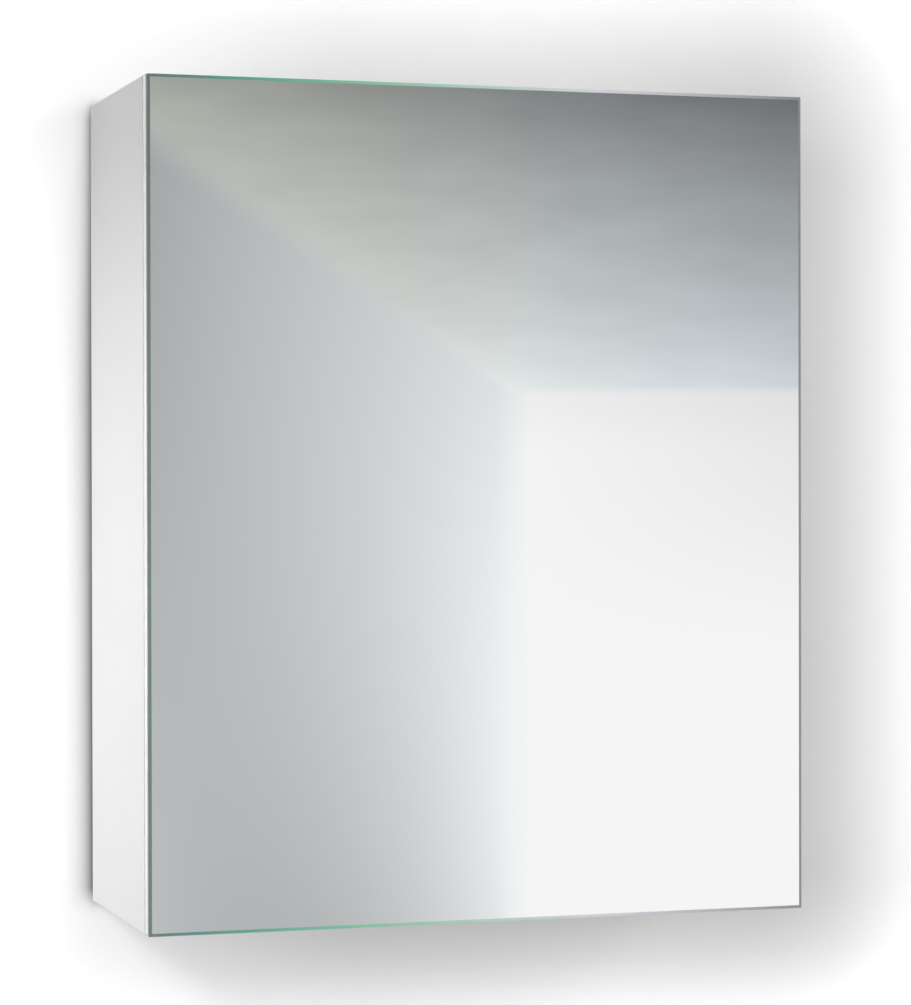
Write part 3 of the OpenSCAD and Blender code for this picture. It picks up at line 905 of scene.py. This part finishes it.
@dataclass
class Joinery(SubAssembly):
    """Dowels and cam joints at the four corners."""

    coats: Coats = (
        (BEECH, ("dowels",)),
        (ZINC_WIRE, ("cam_bolts",)),
        (CASTING, ("cam_discs",)),
        (WHITE_PLASTIC, ("cam_caps",)),
    )


@dataclass
class Shelving(SubAssembly):
    """Glass shelves on pins with soft pads."""

    coats: Coats = (
        (GLASS, ("shelf_lower", "shelf_upper")),
        (NICKEL, ("shelf_pins",)),
        (SILICONE, ("shelf_pads",)),
    )


@dataclass
class Hangers(SubAssembly):
    """Adjustable hangers in the upper corners and the plates on the wall."""

    coats: Coats = (
        (GREY_PLASTIC, ("hanger_housing_left", "hanger_housing_right")),
        (ZINC_SHEET, ("hanger_hook_left", "hanger_hook_right")),
        (ZINC_SHEET, ("wall_plate_left", "wall_plate_right")),
        (ZINC_WIRE, ("hanger_adjusters", "hanger_screws")),
    )


@dataclass
class Catch(SubAssembly):
    """Magnetic catch, its strike plate and the bumpers."""

    coats: Coats = (
        (WHITE_PLASTIC, ("catch_housing",)),
        (MAGNET, ("catch_magnet",)),
        (ZINC_SHEET, ("catch_poles", "catch_strike")),
        (ZINC_WIRE, ("catch_screws", "strike_screw")),
        (SILICONE, ("door_bumpers",)),
    )


@dataclass
class Hinge(SubAssembly):
    """Continuous hinge with its pin and screws."""

    coats: Coats = (
        (NICKEL, ("hinge_leaf_cabinet", "hinge_leaf_door", "hinge_pin")),
        (NICKEL, ("hinge_screws_cabinet", "hinge_screws_door")),
    )


def ring_faces(rings: int, points: int) -> np.ndarray:
    """Quads between closed rings of points.

    Point p of ring r has index r * points + p. Each quad takes p and p + 1 on one
    ring and the same two on the next, and the last point of a ring meets its first.

    Args:
        rings: Number of rings.
        points: Number of points in each ring.

    Returns:
        Array of four indices for each quad.
    """
    r, p = np.meshgrid(np.arange(rings - 1), np.arange(points), indexing="ij")
    after = (p + 1) % points
    quads = [r * points + p, r * points + after, (r + 1) * points + after, (r + 1) * points + p]
    return np.stack(quads, axis=-1).reshape(-1, 4)


def rectangle(left: float, right: float, low: float, high: float) -> np.ndarray:
    """Corners of a rectangle in the plane Y = 0, anticlockwise from the lower left."""
    return np.array([(left, 0, low), (right, 0, low), (right, 0, high), (left, 0, high)])


def new_mesh(
    name: str, points: np.ndarray, faces: list, slots: np.ndarray, finishes: tuple[Finish, ...]
) -> bpy.types.Object:
    """Makes a mesh object at the origin.

    Args:
        name: Name of the piece.
        points: Points in metres, one row each.
        faces: Indices of the points of each face.
        slots: Number of the finish of each face.
        finishes: Finishes in order of their numbers.

    Returns:
        The new object.
    """
    mesh = bpy.data.meshes.new(name)
    mesh.from_pydata(points.tolist(), [], faces)
    for finish in finishes:
        mesh.materials.append(finish.material())
    mesh.polygons.foreach_set("material_index", slots.astype(np.int32))
    mesh.validate()
    piece = bpy.data.objects.new(name, mesh)
    bpy.context.scene.collection.objects.link(piece)
    LOG.info("%s: %d faces", name, len(mesh.polygons))
    return piece


@dataclass
class MirrorPlate(SubAssembly):
    """Silvered glass with a polished slope round its front and eased corners."""

    slope_w: float = 0.0023
    slope_drop: float = 0.001
    arris: float = 0.0003
    corner_r: float = 0.0008
    corner_points: int = 6
    low: Vector = field(default_factory=lambda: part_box("mirror_glass")[0])
    high: Vector = field(default_factory=lambda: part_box("mirror_glass")[1])

    def outline(self, inset: float) -> np.ndarray:
        """Rounded rectangle in the XZ plane, walked anticlockwise from the front.

        Each corner is a quarter circle about a centre that stays where it is, so the
        outline moves in by the inset on every side: centre + (r - inset) * direction.
        Past the centre it becomes a sharp corner that moves in along the mitre.

        Args:
            inset: Distance from the edge of the glass.

        Returns:
            Array of X and Z, one row for each point.
        """
        turn = np.linspace(0.0, math.pi / 2, self.corner_points)
        angle = (np.arange(4)[:, None] * math.pi / 2 + turn[None, :]).ravel()
        signs = np.repeat(np.array([[1, 1], [-1, 1], [-1, -1], [1, -1]]), self.corner_points, 0)
        low, high = np.array(self.low.xz), np.array(self.high.xz)
        half, middle = (high - low) / 2, (high + low) / 2
        radius = max(self.corner_r - inset, 0.0)
        direction = np.stack([np.cos(angle), np.sin(angle)], axis=-1)
        return middle + signs * (half - inset - radius) + radius * direction

    def build(self) -> None:
        """Carries the edge profile round the outline and closes it front and back."""
        front, back = self.low.y, self.high.y
        profile = (
            (self.arris, back),
            (0.0, back - self.arris),
            (0.0, front + self.slope_drop),
            (self.slope_w, front),
        )
        rings = [np.insert(self.outline(inset), 1, depth, axis=1) for inset, depth in profile]
        points = np.concatenate(rings)
        count = len(rings[0])
        index = list(range(len(points)))
        sides = ring_faces(len(profile), count)[:, ::-1]
        faces = [index[:count][::-1], *sides.tolist(), index[-count:]]
        slots = np.concatenate([[2], np.ones(len(sides)), [0]])
        plate = new_mesh("mirror_plate", points, faces, slots, (SILVER, POLISHED_EDGE, BACKING))
        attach(plate, Body.DOOR.value)
        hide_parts("mirror_glass")


@dataclass
class Door(SubAssembly):
    """Door board, tape and mirror."""

    coats: Coats = ((BANDED_BOARD, ("door_board",)), (TAPE, ("mirror_tape",)))
    mirror: MirrorPlate = field(default_factory=MirrorPlate)

    def build(self) -> None:
        """Finishes the board and the tape, and makes the mirror."""
        super().build()
        self.mirror.build()


@dataclass(frozen=True)
class PlainStage(Finish):
    """Pale matt surface of the set, clear when it is looked at from behind.

    It glows a little for the camera, and less for gloss and glass, so that the
    ground looks white without more light on the cabinet.
    """

    tone: Colour = (0.97, 0.97, 0.97)
    glow: float = 0.0
    glow_in_gloss: float = 0.0
    rough: float = 0.9
    gloss: float = 0.1

    def colour(self, graph: Graph, camera: Signal) -> Colour | Socket:
        """The plain tone."""
        return self.tone

    def paint(self, graph: Graph) -> Socket:
        """Shows the front of the surface only.

        Args:
            graph: Graph to paint in.

        Returns:
            Socket of the surface.
        """
        camera = graph.ray("Camera")
        colour = self.colour(graph, camera)
        in_gloss = graph.ray("Glossy").at_least(graph.ray("Transmission")) * self.glow_in_gloss
        surface = graph.shader(
            Base_Color=colour,
            Roughness=self.rough,
            Specular_IOR_Level=self.gloss,
            Emission_Color=colour,
            Emission_Strength=(camera * self.glow).at_least(in_gloss),
        )
        behind = graph.node("ShaderNodeNewGeometry").outputs["Backfacing"]
        clear = graph.node("ShaderNodeBsdfTransparent").outputs[0]
        return graph.node("ShaderNodeMixShader", {0: behind, 1: surface, 2: clear}).outputs[0]


@dataclass(frozen=True)
class WallPaint(PlainStage):
    """Wall paint with painted shade: a thin dark contact line beside the foot and a wide
    soft painted shadow.

    The painted contact line narrows towards the top. The painted shadow reaches further to
    the right than the cabinet, as its cast shadow does, and deepens that way from nought.
    """

    # Depths of the painted contact shade low down and at the top, then its reach likewise.
    dull: float = 0.873
    contact_shade_top: float = 0.719
    reach: float = 0.0079
    reach_top: float = 0.004
    narrow_from: float = -0.152
    narrow_to: float = 0.102
    end_soft: float = 0.012
    # Bounds, width, fall and depth of the painted shadow.
    shade_right: float = 0.296
    shade_low: float = -0.52
    shade_high: float = 0.06
    shade_width: float = 0.259
    fade_below: float = 1.37
    deep: float = 0.568
    shade_start: float = -0.486
    shade_full: float = -0.012

    def painted_contact_shade(self, graph: Graph, x: Signal, z: Signal) -> Signal:
        """Painted contact shade beside the foot of the cabinet.

        Strength * exp(-aside / reach), both smoothly smaller towards the top.

        Args:
            graph: Graph of the wall's paint.
            x: Place along the wall.
            z: Height on the wall.

        Returns:
            Share of the light that the line takes.
        """
        aside = (x.size() - HALF_WIDTH).at_least(0.0)
        above = (z - MIDDLE_Z).size() - HALF_HEIGHT
        strength = z.step(self.narrow_from, self.narrow_to, self.dull, self.contact_shade_top)
        reach = z.step(self.narrow_from, self.narrow_to, self.reach, self.reach_top)
        ends = above.step(-self.end_soft, self.end_soft, 1.0, 0.0)
        return graph.maths("EXPONENT", aside / reach * -1.0) * strength * ends

    def painted_wide_shade(self, x: Signal, z: Signal) -> Signal:
        """Painted shadow round the cabinet.

        Falls smoothly to nought with the distance from a rectangle, faster below.

        Args:
            x: Place along the wall.
            z: Height on the wall.

        Returns:
            Share of the light that the shade takes.
        """
        past_side = (-HALF_WIDTH - x).at_least(x - self.shade_right).at_least(0.0)
        below = (self.shade_low - z) * self.fade_below
        past_end = below.at_least(z - self.shade_high).at_least(0.0)
        distance = (past_side * past_side + past_end * past_end).power(0.5)
        depth = x.step(self.shade_start, self.shade_full, 0.0, self.deep)
        return distance.step(0.0, self.shade_width, 1.0, 0.0) * depth

    def colour(self, graph: Graph, camera: Signal) -> Socket:
        """Takes both painted shades away for the camera. Gloss and bounced light meet the plain
        wall.

        Args:
            graph: Graph of the wall's paint.
            camera: One for what the camera sees itself.

        Returns:
            Socket of the colour.
        """
        x, _y, z = graph.split(graph.place())
        light = (1.0 - self.painted_contact_shade(graph, x, z)) * (1.0 - self.painted_wide_shade(x, z))
        return graph.blend((1.0 - light) * camera, self.tone, BLACK)


@dataclass(frozen=True)
class Lamp:
    """A soft square lamp, aimed at a point. Its spread is in degrees."""

    name: str
    place: Point
    aim: Point
    size: float
    watts: float
    spread: float = 180.0

    def light(self) -> None:
        """Hangs the lamp. Neither the camera nor the mirror sees it."""
        data = bpy.data.lights.new(self.name, "AREA")
        data.shape = "SQUARE"
        data.size = self.size
        data.energy = self.watts
        data.spread = math.radians(self.spread)
        lamp = bpy.data.objects.new(self.name, data)
        bpy.context.scene.collection.objects.link(lamp)
        beam = Vector(self.aim) - Vector(self.place)
        lamp.location = self.place
        lamp.rotation_euler = beam.to_track_quat("-Z", "Y").to_euler()
        lamp.visible_camera = False
        lamp.visible_glossy = False


@dataclass
class Studio:
    """White wall, pale floor, soft lamps and what the mirror sees.

    The wall has an opening behind the cabinet, so that its back is lit as well.
    """

    wall_half: float = 3.0
    wall_top: float = 2.0
    floor_z: float = -1.5
    floor_reach: float = 3.5
    opening_inset: float = 0.0003
    ambient: float = 0.15
    lamps: tuple[Lamp, ...] = (
        Lamp("key", (-1.194, -2.245, 0.32), AIM, 0.5, 10.4),
        Lamp("front_fill", (0.0, -3.0, -0.1), AIM, 2.0, 14.0),
        Lamp("right_fill", (1.8, -1.8, 0.4), AIM, 1.2, 16.0),
        Lamp("side_light", (-0.974, -0.22, 0.1), (-0.25, -0.034, -0.6), 0.25, 1.14, 85.5),
        Lamp("top_light", (0.0, -0.13, 1.0), (0.0, -0.1, 0.0), 0.2, 1.1, 80.0),
        Lamp("back_light", (0.4, 2.6, 0.5), AIM, 1.5, 60.0),
    )

    def wall(self) -> None:
        """A flat frame: the outer rectangle joined to the opening by four quads."""
        low, high = CAD_BOX
        left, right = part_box("side_left")[0].x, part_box("side_right")[1].x
        inset = self.opening_inset
        outer = rectangle(-self.wall_half, self.wall_half, self.floor_z, self.wall_top)
        inner = rectangle(left + inset, right - inset, low.z + inset, high.z - inset)
        points = np.concatenate([outer, inner])
        faces = ring_faces(2, 4)
        # The wall's paint carries painted shade round the cabinet, for the camera only.
        paint = WallPaint("wall_paint", glow=0.6, glow_in_gloss=0.2)
        piece = new_mesh("wall", points, faces.tolist(), np.zeros(len(faces)), (paint,))

    def floor(self) -> None:
        """A level rectangle in front of the wall."""
        upright = rectangle(-self.wall_half, self.wall_half, -self.floor_reach, 0.0)
        points = upright[:, [0, 2, 1]] + np.array((0.0, 0.0, self.floor_z))
        floor = PlainStage("floor_paint", tone=(0.9, 0.9, 0.9), glow=0.55, glow_in_gloss=0.3)
        new_mesh("floor", points, [[0, 1, 2, 3]], np.zeros(1), (floor,))

    def surroundings(self) -> None:
        """Even light all round, a white ground, and a plain room for reflections."""
        world = bpy.data.worlds.new("surroundings")
        world.use_nodes = True
        bpy.context.scene.world = world
        graph = Graph(world.node_tree)
        even = (self.ambient, self.ambient, self.ambient)
        light = graph.blend(graph.ray("Glossy"), even, ReflectedRoom().paint(graph))
        for kind in ("Camera", "Transmission"):
            light = graph.blend(graph.ray(kind), light, (1.0, 1.0, 1.0))
        ground = graph.node("ShaderNodeBackground", {"Color": light})
        graph.node("ShaderNodeOutputWorld", {"Surface": ground.outputs[0]})

    def build(self) -> None:
        """Sets up the wall, the floor, the surroundings and the lamps."""
        self.wall()
        self.floor()
        self.surroundings()
        for lamp in self.lamps:
            lamp.light()


@dataclass
class ReflectedRoom:
    """Corner of a pale room, far in front of the mirror, as reflections see it.

    The room is described by two slopes: how far a direction leads sideways and how
    far up, for each metre that it leads ahead. Its left wall, far wall and ceiling
    meet in one corner. Tones are as they look, and become light at the end. A tuple
    of factors is for the powers of the height, from 0 up.
    """

    turn: float = math.radians(19.92)
    tilt: float = 0.0084
    corner_side: float = -0.0285
    corner_rise: float = 0.0205
    gain: float = 1.017
    haze: float = 0.88
    ceiling_tone: tuple[float, ...] = (0.903, -4.79, 35.0, -295.0)
    ceiling_right: tuple[float, ...] = (0.84, 2.87)
    ceiling_left: tuple[float, ...] = (-0.21, 14.0)
    ceiling_bend: float = 1.48
    wall_tone: tuple[float, ...] = (0.907, -0.911, -5.5)
    wall_slope: tuple[float, ...] = (-2.375, 23.3, 14.6)
    wall_bend: tuple[float, ...] = (4.24, -166.0, 252.0)
    far_tone: float = 0.963
    far_loss: float = 0.003
    far_right: float = 0.586
    far_under: float = 0.026
    up_limit: float = 0.105
    right_limit: float = 0.1
    left_limit: float = 0.12
    away_limit: float = 0.123
    left_edge: tuple[float, float] = (0.7, 1.2)
    ceiling_edge: tuple[float, float] = (0.9, 1.08)
    streak: float = 0.06
    gamma: float = 2.2
    warm: Colour = (1.0, 1.01, 0.975)
    cool: Colour = (0.975, 1.0, 1.02)
    far_tint: Colour = (1.0, 0.996, 0.998)
    left_tint: Colour = (0.985, 0.999, 1.008)

    def ceiling(self, side: Signal, rise: Signal) -> Signal:
        """Darkens upwards and to the right, and upwards less on the left.

        Args:
            side: Sideways slope.
            rise: Upward slope.

        Returns:
            Tone of the ceiling.
        """
        up = (rise - self.corner_rise).within(0.0, self.up_limit)
        right = (side - self.corner_side).within(0.0, self.right_limit)
        left = (self.corner_side - side).within(0.0, self.left_limit)
        level = up.powers(self.ceiling_tone) - right * up.powers(self.ceiling_right)
        return level + left * (up.powers(self.ceiling_left) + left * self.ceiling_bend)

    def left_wall(self, side: Signal, rise: Signal) -> Signal:
        """Falls off away from the corner, faster low down, and towards the ceiling.

        Far to the left it pales again.

        Args:
            side: Sideways slope.
            rise: Upward slope.

        Returns:
            Tone of the left wall.
        """
        away = (self.corner_side - side).within(0.0, self.away_limit)
        high = rise.within(-0.15, 0.12)
        fall = away * (high.powers(self.wall_slope) + away * high.powers(self.wall_bend))
        distant = (self.corner_side - side).step(0.14, 0.5, 0.0, 0.2)
        return high.powers(self.wall_tone) + fall + distant

    def far_wall(self, side: Signal, rise: Signal) -> Signal:
        """White, a little darker under the ceiling and to the right.

        Args:
            side: Sideways slope.
            rise: Upward slope.

        Returns:
            Tone of the far wall.
        """
        right = (side - self.corner_side).within(0.0, self.right_limit)
        under = rise.step(-0.001, self.corner_rise) * self.far_under
        loss = rise.step(-0.07, 0.01) * (right * self.far_right + self.far_loss)
        return self.far_tone - loss - under

    def hue(self, graph: Graph, side: Signal, in_left: Signal, in_ceiling: Signal) -> Socket:
        """Tint of each plane.

        Args:
            graph: Graph of the surroundings.
            side: Sideways slope.
            in_left: Share of the left wall.
            in_ceiling: Share of the ceiling.

        Returns:
            Socket of the tint: cool on the left wall, plain on the far wall, and from
            warm to cool along the ceiling.
        """
        ceiling = graph.blend(side.step(-0.14, 0.05), self.warm, self.cool)
        walls = graph.blend(in_left, self.far_tint, self.left_tint)
        return graph.blend(in_ceiling, walls, ceiling)

    def paint(self, graph: Graph) -> Socket:
        """Adds the nodes of the room.

        Args:
            graph: Graph of the surroundings.

        Returns:
            Socket of the light that a reflection finds.
        """
        direction = graph.node("ShaderNodeTexCoord").outputs["Generated"]
        sine, cosine = math.sin(self.turn), math.cos(self.turn)
        ahead = graph.dot(direction, (sine, -cosine, 0.0))
        reach = ahead.at_least(0.02)
        side = graph.dot(direction, (cosine, sine, 0.0)) / reach
        rise = graph.dot(direction, (0.0, 0.0, 1.0)) / reach - self.tilt
        to_left = side / self.corner_side
        to_ceiling = rise / self.corner_rise
        in_left = to_left.step(*self.left_edge)
        in_ceiling = (to_ceiling / to_left.at_least(1.0)).step(*self.ceiling_edge)
        cloud = graph.noise(graph.join(side * 34.0, rise * 110.0, 0.0), 1.0, 5.0)
        streaks = cloud * self.streak - self.streak / 2.0
        walls = self.far_wall(side, rise) * (1.0 - in_left) + self.left_wall(side, rise) * in_left
        above = self.ceiling(side, rise) + streaks * rise.step(0.12, 0.22, 1.0, 0.0)
        tone = walls * (1.0 - in_ceiling) + above * in_ceiling
        facing = ahead.step(0.05, 0.4)
        tone = tone * facing * self.gain + (1.0 - facing) * self.haze
        grey, tint = graph.join(tone, tone, tone), self.hue(graph, side, in_left, in_ceiling)
        tinted = graph.blend(1.0, grey, tint, "MULTIPLY")
        return graph.node("ShaderNodeGamma", {0: tinted, 1: self.gamma}).outputs[0]


@dataclass
class PhotoCamera:
    """Camera at the viewing angle of the photograph."""

    place: Point = (-0.7116, -2.4207, -0.2049)
    turn: float = math.radians(17.31)
    tilt: float = math.radians(-0.366)
    roll: float = math.radians(-0.1105)
    focal_px: float = 3185.7
    image_px: tuple[int, int] = (911, 1005)
    sensor: float = 36.0
    clip_end: float = 100.0

    def stand(self) -> None:
        """Sets the camera up, looking along +Y, turned to the right and tilted."""
        data = bpy.data.cameras.new("photo_camera")
        data.sensor_width = self.sensor
        data.lens = self.focal_px * self.sensor / max(self.image_px)
        data.clip_end = self.clip_end
        camera = bpy.data.objects.new("photo_camera", data)
        turned = Matrix.Rotation(-self.turn, 4, "Z")
        raised = turned @ Matrix.Rotation(math.pi / 2 + self.tilt, 4, "X")
        rolled = raised @ Matrix.Rotation(self.roll, 4, "Z")
        camera.matrix_world = Matrix.Translation(self.place) @ rolled
        bpy.context.scene.collection.objects.link(camera)
        bpy.context.scene.camera = camera


def main() -> None:
    """Builds the cabinet's pieces in order, then the set and the camera."""
    logging.basicConfig(level=logging.INFO, format="%(name)s %(message)s")
    bpy.context.scene.view_settings.view_transform = "Standard"
    for group in (Carcass(), Joinery(), Shelving(), Hangers(), Catch(), Hinge(), Door()):
        LOG.info("group %s", type(group).__name__)
        group.build()
    Studio().build()
    PhotoCamera().stand()


if __name__ == "__main__":
    main()
